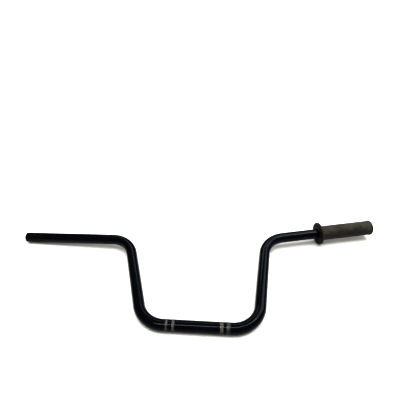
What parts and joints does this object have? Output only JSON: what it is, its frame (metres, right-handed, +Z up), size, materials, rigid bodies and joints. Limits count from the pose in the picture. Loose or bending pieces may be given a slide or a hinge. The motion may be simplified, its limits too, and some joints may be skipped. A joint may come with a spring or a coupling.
{
  "type": "motorcycle handlebar",
  "caption": "Bent steel tube handlebar with raised, swept-back ends, rolled clamp bands and a flanged rubber hand grip on its left end.",
  "frame": {"origin": "on the tube's axis at the middle of the clamp section", "axes": "+X along the clamp section towards the grip, +Y up the risers, along the floor that the bar lies on, +Z up from that floor"},
  "size_m": [0.8023, 0.297, 0.051],
  "materials": {
    "tube_paint": "gloss black enamel over steel, dusty, dull towards the bare end",
    "grip_rubber": "matte moulded rubber, dusty and worn"
  },
  "bodies": {
    "root": {"handlebar_tube": "tube_paint", "hand_grip": "grip_rubber"}
  },
  "joints": []
}
